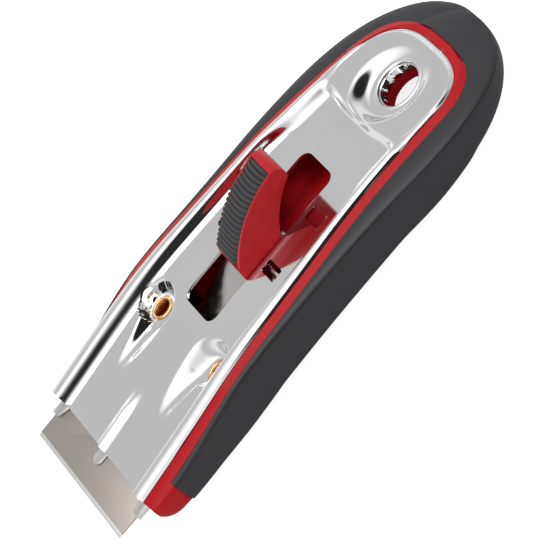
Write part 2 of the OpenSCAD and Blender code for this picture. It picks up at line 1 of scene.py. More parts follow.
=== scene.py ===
import json
from math import atan2, cos, hypot, pi, radians, sin, sqrt, tan

import bpy
from mathutils import Matrix, Vector


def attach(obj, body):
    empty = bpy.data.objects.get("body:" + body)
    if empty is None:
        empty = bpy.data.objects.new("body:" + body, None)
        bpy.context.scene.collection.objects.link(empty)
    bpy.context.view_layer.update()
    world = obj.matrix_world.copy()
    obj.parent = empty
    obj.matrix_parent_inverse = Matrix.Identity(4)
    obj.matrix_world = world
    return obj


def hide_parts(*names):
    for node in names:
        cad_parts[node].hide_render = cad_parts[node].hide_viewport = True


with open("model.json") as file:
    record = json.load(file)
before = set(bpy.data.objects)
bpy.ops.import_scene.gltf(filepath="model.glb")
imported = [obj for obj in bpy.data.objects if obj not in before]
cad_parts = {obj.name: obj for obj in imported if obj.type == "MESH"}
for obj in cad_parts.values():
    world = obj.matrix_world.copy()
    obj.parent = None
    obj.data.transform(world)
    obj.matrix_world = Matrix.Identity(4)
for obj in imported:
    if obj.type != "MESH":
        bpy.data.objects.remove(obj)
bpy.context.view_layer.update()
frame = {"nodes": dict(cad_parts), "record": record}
print("frame loaded:", len(frame["nodes"]), "nodes")

# Lengths below are in mm, measured back from the front edge of the plate (x),
# across (y) and up from the flat floor round the thumb slot (z).
mm = 0.001
middleX = 49.2
underside = 10.8


def spot(x, y, z):
    return Vector(((x - middleX) * mm, y * mm, (z + underside) * mm))


def ramp(a, b, v):
    t = min(1.0, max(0.0, (v - a) / (b - a)))
    return t * t * (3 - 2 * t)


# helpers that every piece uses: selection, edit steps, modifiers and cuts
def clearSelection():
    if bpy.context.object and bpy.context.object.mode != "OBJECT":
        bpy.ops.object.mode_set(mode="OBJECT")
    for o in list(bpy.context.selected_objects):
        o.select_set(False)


def focus(obj):
    clearSelection()
    obj.select_set(True)
    bpy.context.view_layer.objects.active = obj


def added(name):
    obj = bpy.context.object
    obj.name = name
    obj.data.name = name
    return obj


def settle(obj):  # puts the object's place and size into its mesh
    focus(obj)
    bpy.ops.object.transform_apply(location=True, rotation=True, scale=True)
    return obj


def inEdit(obj, *steps):
    focus(obj)
    bpy.ops.object.mode_set(mode="EDIT")
    bpy.ops.mesh.select_all(action="SELECT")
    for step in steps:
        step()
    bpy.ops.object.mode_set(mode="OBJECT")
    return obj


def mergeDoubles():
    bpy.ops.mesh.remove_doubles(threshold=0.000004)


def faceOut():
    bpy.ops.mesh.normals_make_consistent(inside=False)


def turnedOut(obj):  # flips a closed body whose highest face looks down
    highest = max(obj.data.polygons, key=lambda p: p.center.z + p.normal.z * 1e-6)
    if highest.normal.z < 0:
        inEdit(obj, bpy.ops.mesh.flip_normals)
    return obj


def faceUp(obj):  # turns an open sheet so that it looks up
    inEdit(obj, faceOut)
    if sum(p.normal.z for p in obj.data.polygons) < 0:
        inEdit(obj, bpy.ops.mesh.flip_normals)
    return obj


def applyModifiers(obj):
    focus(obj)
    for m in [m.name for m in obj.modifiers]:
        bpy.ops.object.modifier_apply(modifier=m)
    return obj


def smoothBy(obj, angle):
    focus(obj)
    bpy.ops.object.shade_smooth_by_angle(angle=radians(angle))
    return obj


def roundEdges(obj, width, segments, angle):
    bevel = obj.modifiers.new("bevel", "BEVEL")
    bevel.width = width * mm
    bevel.segments = segments
    bevel.limit_method = "ANGLE"
    bevel.angle_limit = radians(angle)
    bevel.harden_normals = False
    return applyModifiers(obj)


def thicken(obj, thickness):  # gives a sheet its wall, below the drawn face
    wall = obj.modifiers.new("sheet", "SOLIDIFY")
    wall.thickness = thickness * mm
    wall.offset = -1
    return applyModifiers(obj)


def cutBy(obj, cutter):
    cut = obj.modifiers.new("cut", "BOOLEAN")
    cut.operation = "DIFFERENCE"
    cut.solver = "EXACT"
    cut.object = cutter
    applyModifiers(obj)
    bpy.data.objects.remove(cutter)
    return obj


def joined(obj, *others):
    clearSelection()
    for o in others:
        o.select_set(True)
    obj.select_set(True)
    bpy.context.view_layer.objects.active = obj
    bpy.ops.object.join()
    return obj


def shapedGrid(name, across, along, place):
    # a grid primitive, each vertex moved to its place on a curved sheet
    clearSelection()
    bpy.ops.mesh.primitive_grid_add(x_subdivisions=along, y_subdivisions=across, size=1)
    obj = added(name)
    for v in obj.data.vertices:
        v.co = place(round((v.co.x + 0.5) * along), round((v.co.y + 0.5) * across))
    obj.data.update()
    return obj


def loftBody(name, rows):
    # closed sections of (x, y, z) points, joined into one capped body
    n = len(rows[0])
    obj = shapedGrid(name, n, len(rows) - 1, lambda i, j: spot(*rows[i][j % n]))

    def closeEnds():
        bpy.ops.mesh.remove_doubles(threshold=0.0000005)
        bpy.ops.mesh.select_all(action="DESELECT")
        bpy.ops.mesh.select_mode(type="EDGE")
        bpy.ops.mesh.select_non_manifold()
        bpy.ops.mesh.edge_face_add()
        bpy.ops.mesh.select_all(action="SELECT")
        faceOut()
    return turnedOut(inEdit(obj, closeEnds))


def spunRing(name, centre, profile, steps=96):
    # a closed profile of (radius, z) points turned about the vertical through centre
    mesh = bpy.data.meshes.new(name)
    edges = [(i, (i + 1) % len(profile)) for i in range(len(profile))]
    mesh.from_pydata([spot(centre[0] + r, centre[1], z) for r, z in profile], edges, [])
    obj = bpy.data.objects.new(name, mesh)
    bpy.context.scene.collection.objects.link(obj)

    def turn():
        bpy.ops.mesh.spin(steps=steps, angle=2 * pi, center=spot(centre[0], centre[1], 0),
                          axis=(0, 0, 1))
        mergeDoubles()
        faceOut()
    inEdit(obj, turn)
    return smoothBy(obj, 50)


def extruded(name, outline, low, high):
    # a flat outline of (x, z) points pulled out across to a solid
    clearSelection()
    bpy.ops.mesh.primitive_circle_add(vertices=len(outline), radius=1, fill_type="NGON")
    obj = added(name)
    for v, (x, z) in zip(obj.data.vertices, outline):
        v.co = spot(x, low, z)
    return inEdit(obj, lambda: bpy.ops.mesh.extrude_region_move(
        TRANSFORM_OT_translate={"value": (0, (high - low) * mm, 0)}),
        lambda: bpy.ops.mesh.select_all(action="SELECT"), faceOut)


def copyOf(node, name):
    # the CAD node's shape as one merged mesh, ready to be rounded
    src = frame["nodes"][node]
    obj = bpy.data.objects.new(name, src.data.copy())
    obj.data.name = name
    obj.data.materials.clear()
    bpy.context.scene.collection.objects.link(obj)
    return inEdit(obj, mergeDoubles,
                  lambda: bpy.ops.mesh.dissolve_limited(angle_limit=radians(0.8)))


def throughPoints(points, per):
    # smooth line through the points, with per steps in each span
    out = []
    for i in range(len(points) - 1):
        p0, p1 = points[max(0, i - 1)], points[i]
        p2, p3 = points[i + 1], points[min(len(points) - 1, i + 2)]
        for k in range(per):
            t = k / per
            out.append(tuple(0.5 * (2 * b + (c - a) * t + (2 * a - 5 * b + 4 * c - d) * t * t
                                    + (3 * b - a - 3 * c + d) * t ** 3)
                             for a, b, c, d in zip(p0, p1, p2, p3)))
    out.append(points[-1])
    return out


def closingUp(start, end, count):  # places that lie closer together towards the end
    return [start + (end - start) * sin(i * pi / 2 / count) for i in range(count + 1)]


# materials: a slow change of tone, grain in the roughness, bump on the moulded pieces
def mixColour(nodes, links, factor, first, second, blend="MIX"):
    # factor, first and second are each a fixed value or another node's output
    mix = nodes.new("ShaderNodeMix")
    mix.data_type = "RGBA"
    mix.blend_type = blend
    for i, value in ((0, factor), (6, first), (7, second)):
        if isinstance(value, bpy.types.NodeSocket):
            links.new(value, mix.inputs[i])
        else:
            mix.inputs[i].default_value = value
    return mix.outputs[2]


blade = {"edge": -8.4, "bevel": 0.9, "blur": 0.02}


def groundBand(nodes, links, place, body, colour):
    # the brighter ground bevel along the cutting edge
    axes = nodes.new("ShaderNodeSeparateXYZ")
    links.new(place.outputs["Object"], axes.inputs["Vector"])
    reach = nodes.new("ShaderNodeMapRange")
    edge = (blade["edge"] + blade["bevel"] - middleX) * mm
    reach.inputs["From Min"].default_value = edge - blade["blur"] * mm
    reach.inputs["From Max"].default_value = edge + blade["blur"] * mm
    reach.inputs["To Min"].default_value = 1
    reach.inputs["To Max"].default_value = 0
    links.new(axes.outputs["X"], reach.inputs["Value"])
    return mixColour(nodes, links, reach.outputs["Result"], body, (*colour, 1))


grainDepth = 0.1


def finish(name, look):
    mat = bpy.data.materials.new(name)
    mat.use_nodes = True
    nodes, links = mat.node_tree.nodes, mat.node_tree.links
    shader = nodes["Principled BSDF"]
    place = nodes.new("ShaderNodeTexCoord")
    turn = nodes.new("ShaderNodeMapping")
    turn.inputs["Scale"].default_value = look.get("stretch", (1, 1, 1))
    links.new(place.outputs["Object"], turn.inputs["Vector"])
    broad = nodes.new("ShaderNodeTexNoise")  # slow change of tone
    broad.inputs["Scale"].default_value = look["broad"]
    broad.inputs["Detail"].default_value = 4
    links.new(turn.outputs["Vector"], broad.inputs["Vector"])
    fine = nodes.new("ShaderNodeTexNoise")  # grain
    fine.inputs["Scale"].default_value = look["fine"]
    fine.inputs["Detail"].default_value = 3
    links.new(turn.outputs["Vector"], fine.inputs["Vector"])
    tone = nodes.new("ShaderNodeMapRange")
    tone.inputs["From Min"].default_value = 0.35
    tone.inputs["From Max"].default_value = 0.65
    links.new(broad.outputs["Fac"], tone.inputs["Value"])
    body = mixColour(nodes, links, tone.outputs["Result"], (*look["colour"], 1),
                     (*look["second"], 1))
    if look.get("band"):
        body = groundBand(nodes, links, place, body, look["band"])
    links.new(body, shader.inputs["Base Color"])
    rough = nodes.new("ShaderNodeMapRange")
    rough.inputs["From Min"].default_value = 0.3
    rough.inputs["From Max"].default_value = 0.7
    rough.inputs["To Min"].default_value = look["rough"][0]
    rough.inputs["To Max"].default_value = look["rough"][1]
    links.new(fine.outputs["Fac"], rough.inputs["Value"])
    links.new(rough.outputs["Result"], shader.inputs["Roughness"])
    if look.get("bump"):
        bump = nodes.new("ShaderNodeBump")
        bump.inputs["Strength"].default_value = look["bump"]
        bump.inputs["Distance"].default_value = grainDepth * mm
        links.new(fine.outputs["Fac"], bump.inputs["Height"])
        links.new(bump.outputs["Normal"], shader.inputs["Normal"])
    shader.inputs["Metallic"].default_value = look.get("metallic", 0)
    shader.inputs["Specular IOR Level"].default_value = look.get("specular", 0.5)
    return mat


looks = {
    "chromed_steel": {"colour": (0.80, 0.80, 0.81), "second": (0.78, 0.78, 0.785), "broad": 60,
                      "fine": 900, "rough": (0.05, 0.09), "metallic": 1},
    "plain_steel": {"colour": (0.66, 0.655, 0.64), "second": (0.60, 0.595, 0.58), "broad": 90,
                    "fine": 700, "rough": (0.18, 0.24), "metallic": 1},
    "spring_steel": {"colour": (0.60, 0.59, 0.57), "second": (0.55, 0.54, 0.52), "broad": 120,
                     "fine": 700, "rough": (0.14, 0.2), "metallic": 1},
    "blade_steel": {"colour": (0.40, 0.365, 0.335), "second": (0.385, 0.35, 0.32), "broad": 50,
                    "fine": 700, "stretch": (1, 0.15, 1), "rough": (0.42, 0.5), "metallic": 1,
                    "band": (0.66, 0.67, 0.66)},
    "brass": {"colour": (0.64, 0.38, 0.18), "second": (0.53, 0.30, 0.13), "broad": 300,
              "fine": 1500, "rough": (0.2, 0.28), "metallic": 1},
    "red_plastic": {"colour": (0.45, 0.006, 0.010), "second": (0.42, 0.005, 0.008), "broad": 80,
                    "fine": 1200, "rough": (0.36, 0.44), "specular": 0.16, "bump": 0.03},
    "red_lever": {"colour": (0.48, 0.006, 0.010), "second": (0.45, 0.005, 0.008), "broad": 90,
                  "fine": 1200, "rough": (0.3, 0.38), "specular": 0.25, "bump": 0.02},
    "black_grip": {"colour": (0.024, 0.024, 0.029), "second": (0.020, 0.020, 0.024), "broad": 40,
                   "fine": 2400, "rough": (0.4, 0.48), "specular": 0.36, "bump": 0.08},
    "black_pad": {"colour": (0.045, 0.045, 0.047), "second": (0.036, 0.036, 0.038), "broad": 200,
                  "fine": 2400, "rough": (0.5, 0.6), "specular": 0.3, "bump": 0.06},
}
finishes = {name: finish(name + "_finish", look) for name, look in looks.items()}
nodeSlots = {part["node"]: part["material_slot"] for part in frame["record"]["subparts"]}
for node, obj in frame["nodes"].items():
    obj.data.materials.clear()
    obj.data.materials.append(finishes[nodeSlots[node]])
bodyOf = {n: b for b, names in frame["record"]["behaviour"]["bodies"].items() for n in names}
print("materials made:", len(finishes))


def dress(obj, node):  # gives a new piece the finish, body and place of the node it replaces
    obj.data.materials.clear()
    obj.data.materials.append(finishes[nodeSlots[node]])
    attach(obj, bodyOf[node])
    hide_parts(node)
    print("made", obj.name, len(obj.data.polygons), "faces")
    return obj


# the lines that the plate, the core and the grip share
handle = {"length": 106.8, "frontHalf": 24.19, "waistHalf": 23.2, "rearHalf": 23.3,
          "shoulder": 1.1, "noseLength": 6.2, "noseRound": 3.8, "tailLength": 20,
          "tailRise": 5, "swellLength": 32.8, "waistX": 52, "noseTuck": 0.8, "endPower": 2.5,
          "border": 2.0, "borderFall": 0.6, "borderDrop": 0.4, "frontFade": (4, 30),
          "frontDrop": 0.25, "frontFall": 1.1, "frontNarrow": 0.3, "gripWall": 1.8}
plate = {"thickness": 0.5, "edge": 0.07, "halfWidth": 21.3, "length": 97.7, "rim": 1.7,
         "noseAngle": 6.5, "bendX": 24, "flatX": 38, "crownX": 58, "crownRadius": 180,
         "stepX": 78.0, "taperFrom": 14, "taper": 5.9, "taperPower": 1.35,
         "endLength": 11.7, "endPower": 3, "hangX": 87.9, "hangRadius": 4.7,
         "dishX": 87.0, "dishRadius": 9.3, "dishFlat": 6.0, "dishDepth": 1.5,
         "eyelet": (26.5, 12.8), "eyeletHole": 2.0, "seat": 3.35}
noseSlope = tan(radians(plate["noseAngle"]))
bendRadius = (plate["flatX"] - plate["bendX"]) / noseSlope
plateEndX = plate["length"] - plate["endLength"]
swellX = handle["length"] - handle["swellLength"]


def floorZ(x):
    if x < plate["bendX"]:
        return (-(plate["flatX"] - plate["bendX"]) ** 2 / (2 * bendRadius)
                - (plate["bendX"] - x) * noseSlope)
    if x < plate["flatX"]:
        return -(plate["flatX"] - x) ** 2 / (2 * bendRadius)
    if x < plate["crownX"]:
        return 0.0
    return -(x - plate["crownX"]) ** 2 / (2 * plate["crownRadius"])


def frontShare(x):  # the red border is lower, steeper and narrower towards the front
    return 1 - ramp(*handle["frontFade"], x)


def borderZ(x):
    return floorZ(x) + plate["rim"] - handle["borderDrop"] - handle["frontDrop"] * frontShare(x)


def borderFall(x):
    return handle["borderFall"] + handle["frontFall"] * frontShare(x)


def borderWidth(x):
    return handle["border"] * (1 - handle["frontNarrow"] * frontShare(x))


def endRound(x, start, end, n):
    if x <= start:
        return 1.0
    if x >= end:
        return 0.0
    return (1 - ((x - start) / (end - start)) ** n) ** (1 / n)


def plateTaper(x):
    along = max(0.0, (x - plate["taperFrom"]) / (plate["hangX"] + 0.1 - plate["taperFrom"]))
    return plate["halfWidth"] - plate["taper"] * along ** plate["taperPower"]


def plateHalf(x):
    return plateTaper(x) * endRound(x, plateEndX, plate["length"], plate["endPower"])


def borderHalf(x):
    return ((plateTaper(x) + borderWidth(x))
            * endRound(x, plateEndX, plate["length"] + handle["border"], plate["endPower"]))


def handleHalf(x):
    start = handle["noseLength"] * 2
    if x < start:
        w = handle["frontHalf"] - handle["noseTuck"] * (1 - x / start) ** 2
    else:
        w = (handle["frontHalf"]
             + (handle["waistHalf"] - handle["frontHalf"]) * ramp(start, handle["waistX"], x)
             + (handle["rearHalf"] - handle["waistHalf"]) * ramp(handle["waistX"], swellX, x))
    return w * endRound(x, swellX, handle["length"] + 0.03, handle["endPower"])


def underZ(x):
    r = handle["noseRound"]
    nose = r - sqrt(max(0, r * r - (r - x) ** 2)) if x < r else 0
    t = min(1.0, max(0.0, (x - handle["length"] + handle["tailLength"]) / handle["tailLength"]))
    return -underside + nose + handle["tailRise"] * (1 - sqrt(1 - t * t))


# the grip's lower corner: its radius, and how much it grows between two shares of the length
lowerCorner = {"radius": 4, "swells": ((2.5, 0.19, 0.45), (-3, 0.52, 0.75), (3.2, 0.8, 0.92))}


def sideRound(x):
    s = x / handle["length"]
    return sum((grow * ramp(a, b, s) for grow, a, b in lowerCorner["swells"]),
               lowerCorner["radius"])


# top plate: one pressed sheet with its dimples, rib, step and dish
rib = {"length": 14.5, "half": 2.0, "height": 0.8}
footing = {"half": 15, "share": 0.357, "taper": 17.1}
step = {"lead": 0.1, "bow": 0.7, "bowFrom": 4, "bowTo": 12, "corner": 1.2, "cornerTo": 16,
        "half": 1.25}
dimple = {"flat": 3.1, "inner": 7.2, "outer": 4.0, "rear": 5.3, "front": 13.9, "tip": 3.4,
          "valley": 3.0, "curl": 1.5, "flare": 1.8, "flareSlope": 0.3, "close": 1.25,
          "innerSlope": 1.3, "outerSlope": 1.6}


def footHalf(x):
    return footing["half"] + footing["share"] * (plateTaper(x) - footing["taper"])


def stepUp(x, y):
    edge = (plate["stepX"] + step["lead"]
            + step["bow"] * ramp(step["bowFrom"], step["bowTo"], abs(y))
            - step["corner"] * ramp(step["bowTo"], step["cornerTo"], abs(y)))
    return ramp(edge - step["half"], edge + step["half"], x) * plate["rim"]


def pitShare(x, y):  # the round pit at the eyelet
    u, v = plate["eyelet"][0] - x, y - plate["eyelet"][1]
    reach = hypot(u, v)
    share = hypot(u / dimple["outer" if u > 0 else "rear"],
                  v / dimple["outer" if v > 0 else "inner"])
    edge = max(dimple["flat"] + 0.1, reach / max(share, 0.01))
    return 1 - ramp(dimple["flat"], edge, reach)


def channelShare(x, y):  # the channel that narrows forward from it
    u = plate["eyelet"][0] - x
    if u <= 0:
        return 0
    f = min(1, u / dimple["front"])
    inner = (plate["eyelet"][1] - dimple["tip"]
             - (dimple["inner"] - dimple["tip"]) * sqrt(1 - f * f))
    outer = plate["eyelet"][1] + dimple["flare"] - dimple["flareSlope"] * u
    middle = plate["eyelet"][1] - dimple["valley"] * (1 - (1 - f) ** dimple["curl"])
    innerFoot = max(inner + dimple["innerSlope"], middle - dimple["flat"] * (1 - f))
    outerTop = max(middle + dimple["outerSlope"], outer)
    return (min(1, (1 - f) * dimple["close"])
            * ramp(inner, innerFoot, y) * (1 - ramp(middle, outerTop, y)))


def dimpleShare(x, y):
    return max(pitShare(x, y), channelShare(x, y))


def dishShare(x, y):  # the dish's flat lies a little behind its rim
    away = hypot(x - plate["dishX"], y)
    shift = (plate["hangX"] - plate["dishX"]) * (1 - ramp(0, plate["dishRadius"], away))
    c = plate["dishX"] + shift
    return 1 - ramp(plate["dishFlat"], plate["dishRadius"], hypot(x - c, y))


dishZ = floorZ(plate["hangX"]) + plate["rim"] - plate["dishDepth"]


def pressedZ(x, y):
    y = abs(y)
    base = floorZ(x) + stepUp(x, y)
    base += rib["height"] * (1 - ramp(rib["length"] * 0.5, rib["length"], x)) * (
        1 - ramp(0, rib["half"], y))
    z = base + (-plate["seat"] - base) * dimpleShare(x, y)
    return z + (dishZ - z) * dishShare(x, y)


floorCuts = 64
# across the side wall: share of its width, share of its height, share of its crest
rimShape = throughPoints([(0, 0, 0), (0.06, 0.06, 0), (0.13, 0.3, 0), (0.2, 0.68, 0),
                          (0.27, 0.92, 0.25), (0.36, 1, 0.7), (0.52, 1, 1), (0.72, 1, 0.8),
                          (0.88, 1, 0.2), (0.96, 0.95, -0.4)], 3)
easyShape = throughPoints([(0, 0, 0), (0.1, 0.05, 0), (0.22, 0.22, 0), (0.34, 0.5, 0),
                           (0.45, 0.76, 0.15), (0.55, 0.93, 0.4), (0.66, 1, 0.7),
                           (0.78, 1, 0.7), (0.9, 1, 0.2), (0.96, 0.95, -0.4)], 3)
rimTop = {"crest": 0.12, "crestRise": 0.26, "turned": (0.4, 0.9)}
easing = {"from": (62, 71), "to": (79, 84), "pull": 3}
turnDown = {"drop": 0.5, "near": 0.1, "far": 1.3, "lead": 5}


def endSag(x, y):  # the rear edge is turned down all round
    if x < plateEndX:
        return 0
    depth = plate["length"] - plateEndX
    a, b = (x - plateEndX) / depth, y / plateTaper(x)
    away = (1 - a ** 3 - b ** 3) / (3 * hypot(a * a / depth, b * b / plateTaper(x)))
    return (turnDown["drop"] * ramp(turnDown["far"], turnDown["near"], away)
            * ramp(plateEndX, plateEndX + turnDown["lead"], x))


def plateHalfSection(x):
    # towards the rear the steep wall eases into a gentle slope
    ease = ramp(*easing["from"], x) * (1 - ramp(*easing["to"], x))
    foot = min(footHalf(x), plateHalf(x) * 0.9) - easing["pull"] * ease
    w = plateHalf(x) - foot
    up = stepUp(x, foot)
    shape = [[u + (v - u) * ease for u, v in zip(steep, easy)]
             for steep, easy in zip(rimShape, easyShape)]
    base, h = floorZ(x) + up, plate["rim"] - up
    crest = rimTop["crest"] + rimTop["crestRise"] * (h / plate["rim"])
    points = []
    for i in range(floorCuts):
        y = foot * i / floorCuts
        points.append((y, pressedZ(x, y) - endSag(x, y)))
    for a, b, c in shape:
        y = foot + w * a
        pressed = (-plate["seat"] - base) * dimpleShare(x, y) * max(0, 1 - b)
        points.append((y, base + h * b + crest * c - endSag(x, y) + pressed))
    sag = endSag(x, foot + w)
    return points + [(foot + w, base + h - drop - sag) for drop in rimTop["turned"]]


# stations along the plate: (start, spacing, count), finer at the dimples and the step
plateRuns = ((0, 0.9, 14), (12.1, 0.3, 71), (34.3, 2.2, 19), (75, 0.26, 26))
plateStations = [start + i * gap for start, gap, count in plateRuns for i in range(count)]
plateStations += closingUp(82, plate["length"] - 0.03, 52)
plateRows = [plateHalfSection(x) for x in plateStations]
side = len(plateRows[0]) - 1


def platePlace(i, j):
    y, z = plateRows[i][abs(j - side)]
    return spot(plateStations[i], y if j >= side else -y, z)


topPlate = shapedGrid("pressedTopPlate", 2 * side, len(plateStations) - 1, platePlace)
thicken(faceUp(topPlate), plate["thickness"])

slot = {"x": 31.7, "length": 35.9, "width": 11.8, "corner": 2.2}
latch = {"x": 45.7, "length": 2.8, "width": 5.0, "y": 9.7, "pitch": 12.65, "corner": 0.35}


def blockCutter(x0, x1, y0, y1, z0, z1, corner):
    clearSelection()
    bpy.ops.mesh.primitive_cube_add(size=1, location=spot((x0 + x1) / 2, (y0 + y1) / 2,
                                                          (z0 + z1) / 2))
    obj = added("cutter")
    obj.scale = ((x1 - x0) * mm, (y1 - y0) * mm, (z1 - z0) * mm)
    settle(obj)
    bpy.ops.object.mode_set(mode="EDIT")
    bpy.ops.mesh.select_mode(type="EDGE")
    bpy.ops.mesh.select_all(action="DESELECT")
    bpy.ops.object.mode_set(mode="OBJECT")
    for e in obj.data.edges:  # the upright ones
        a, b = (obj.data.vertices[i].co for i in e.vertices)
        e.select = abs(a.z - b.z) > abs(a.x - b.x) + abs(a.y - b.y)
    bpy.ops.object.mode_set(mode="EDIT")
    bpy.ops.mesh.bevel(offset=corner * mm, segments=6)
    bpy.ops.object.mode_set(mode="OBJECT")
    return obj


def roundCutter(x, y, z0, z1, r):
    clearSelection()
    bpy.ops.mesh.primitive_cylinder_add(vertices=96, radius=r * mm, depth=(z1 - z0) * mm,
                                        location=spot(x, y, (z0 + z1) / 2))
    return settle(added("cutter"))


half = slot["width"] / 2
cutters = [blockCutter(slot["x"], slot["x"] + slot["length"], -half, half, -2, 2,
                       slot["corner"])]
for i in (0, 1):
    for s in (-1, 1):
        x0, y0 = latch["x"] + i * latch["pitch"], s * latch["y"]
        cutters.append(blockCutter(x0, x0 + latch["length"], y0 - latch["width"] / 2,
                                   y0 + latch["width"] / 2, -2, 1, latch["corner"]))
for s in (-1, 1):
    cutters.append(roundCutter(plate["eyelet"][0], s * plate["eyelet"][1], -5, -2,
                               plate["eyeletHole"]))
cutters.append(roundCutter(plate["hangX"], 0, dishZ - 2, dishZ + 2, plate["hangRadius"] + 0.6))
cutBy(topPlate, joined(*cutters))
roundEdges(topPlate, plate["edge"], 2, 50)
smoothBy(topPlate, 32)

# rolled edge of the hang hole, and the burst ring of teeth under it
hole, sheetLow = plate["hangRadius"], dishZ - plate["thickness"]
collar = spunRing("collar", (plate["hangX"], 0), [
    (hole + 0.9, sheetLow), (hole + 0.9, dishZ - 0.02), (hole + 0.62, dishZ + 0.09),
    (hole + 0.42, dishZ + 0.1), (hole + 0.2, dishZ + 0.02), (hole + 0.06, dishZ - 0.15),
    (hole, dishZ - 0.38), (hole, dishZ - 0.9), (hole + 0.35, dishZ - 0.9),
    (hole + 0.35, sheetLow)])
tooth = {"count": 9, "rows": 4, "lean": 0.13, "top": 0.7, "root": 0.8, "point": 0.95,
         "uneven": 0.35, "thick": 0.3, "outline": (0.0, 0.35, 0.8, 1.0, 0.72, 0.3, 0.1, 0.02)}
perTooth = len(tooth["outline"])
around = tooth["count"] * perTooth


def toothPlace(i, j):
    reach = hole + 0.02 - tooth["lean"] * i
    point = tooth["point"] + tooth["uneven"] * sin(5 * (j // perTooth))
    drop = tooth["root"] + point * tooth["outline"][j % perTooth]
    return spot(plate["hangX"] + reach * cos(2 * pi * j / around),
                reach * sin(2 * pi * j / around),
                dishZ - tooth["top"] - i / tooth["rows"] * drop)


teeth = shapedGrid("teeth", around, tooth["rows"], toothPlace)
inEdit(teeth, mergeDoubles, faceOut)
thicken(teeth, tooth["thick"])
smoothBy(teeth, 40)
joined(topPlate, collar, teeth)
dress(topPlate, "top_plate")

# plastic core: the CAD solid with its red border trimmed, and a smooth border at the rear
trim = {"reach": 5, "fade": 1.1}
core = copyOf("handle_core", "redCore")
for v in core.data.vertices:  # brings the red border to its lower, narrower line
    x, y, z = v.co.x / mm + middleX, v.co.y / mm, v.co.z / mm - underside
    edge = floorZ(x) + plate["rim"] - handle["borderFall"]
    e, inner = plateTaper(x) + handle["border"], plateHalf(x)
    if abs(y) < inner - 0.1 or z < edge - trim["reach"]:
        continue
    share = ramp(edge - trim["reach"], edge - trim["fade"], z)
    t = min(1, max(0, (abs(y) - inner) / handle["border"])) if x < plateEndX else 0.5
    z -= share * (handle["borderDrop"]
                  + (handle["frontDrop"] + handle["frontFall"] * t) * frontShare(x))
    if x < plateEndX:
        h = max(handleHalf(x), e + 0.1)
        new = inner + borderWidth(x)
        far = new + (abs(y) - e) * (h - new) / (h - e)
        new = far if abs(y) > e else inner + t * borderWidth(x)
        y *= (1 - share) + share * new / abs(y)
    v.co = spot(x, y, z)
smoothBy(core, 28)

rearEdge = {"gap": 0.12, "lap": 0.02, "lift": 0.03, "inside": 0.8, "outside": 0.6}


def borderSection(angle):  # across the red border, from the plate's outline to the grip
    c, q = abs(cos(radians(angle))) ** (2 / 3), abs(sin(radians(angle))) ** (2 / 3)
    side = 1 if angle <= 90 else -1
    width = handle["border"] - rearEdge["lap"]
    inX = plateEndX + (plate["length"] + rearEdge["gap"] - plateEndX) * q
    outX = plateEndX + (plate["length"] + width - plateEndX) * q
    inY = side * (plateTaper(inX) + rearEdge["gap"]) * c
    outY = side * (plateTaper(outX) + width) * c
    top = borderZ(inX) + rearEdge["lift"]
    low = borderZ(outX) - borderFall(outX) + rearEdge["lift"]
    return [(inX, inY, top - rearEdge["inside"]), (inX, inY, top), (outX, outY, low),
            (outX, outY, low - rearEdge["outside"])]


rearBorder = loftBody("rearBorder", [borderSection(a) for a in range(0, 181, 2)])
smoothBy(rearBorder, 40)
joined(core, rearBorder)
dress(core, "handle_core")

# soft grip: the handle's outer body, less the room for the core and the countersink
# below, (angle, depth) round its lower corner, with the fine groove of the parting line
seamArc = ([(a, 0) for a in range(0, 37, 6)] + [(37.2, 0), (38, 0.07), (38.8, 0)]
           + [(a, 0) for a in range(42, 91, 6)])


def outerHalf(x):
    h = handleHalf(x)
    e = max(borderHalf(x), 0.5 * h)
    top = borderZ(x)
    edge, low = top - borderFall(x), underZ(x)
    r = min(sideRound(x), h * 0.6, (edge - low) * 0.45)
    drop = min(handle["shoulder"], (edge - low) * 0.5)
    upper = [(0, top), (max(0.3 * e, e - borderWidth(x)), top), (e, edge)]
    upper += [(e + (h - e) * sin(radians(a)), edge - drop * (1 - cos(radians(a))))
              for a in range(6, 91, 6)]
    upper += [(h - r + (r - g) * cos(radians(a)), low + r - (r - g) * sin(radians(a)))
              for a, g in seamArc]
    return upper + [(0, low)]


def sectionAt(x, halfOf):
    halfLine = halfOf(x)
    return [(x, y, z) for y, z in halfLine + [(-y, z) for y, z in halfLine[-2:0:-1]]]


gripX = handle["noseLength"] + 0.05
gripStations = ([gripX + i * 1.5 for i in range(52)]
                + closingUp(84.6, handle["length"], 40))
grip = loftBody("softGrip", [sectionAt(x, outerHalf) for x in gripStations])

hollowing = {"open": 12, "corner": 2.4, "neck": 1.4, "shoulder": (0.6, 0.5), "waist": (0.2, 1),
             "floor": 2.5}


def coreHalf(x):  # the room that the core fills
    e = borderHalf(x)
    h = min(e, handleHalf(x) - handle["gripWall"])
    edge, low = borderZ(x) - borderFall(x), underZ(x) + handle["gripWall"]
    r = min(hollowing["corner"], h * 0.6, edge - hollowing["floor"] - low)
    neck = hollowing["neck"]
    points = [(0, edge + hollowing["open"]), (e, edge + hollowing["open"]), (e, edge)]
    points += [(h + (e - h) * share, edge - drop)
               for share, drop in (hollowing["shoulder"], hollowing["waist"])]
    points += [(h, edge - neck), (h, edge - neck - 1)]
    points += [(h - r + r * cos(radians(a)), low + r - r * sin(radians(a)))
               for a in range(0, 91, 10)]
    return points + [(0, low)]


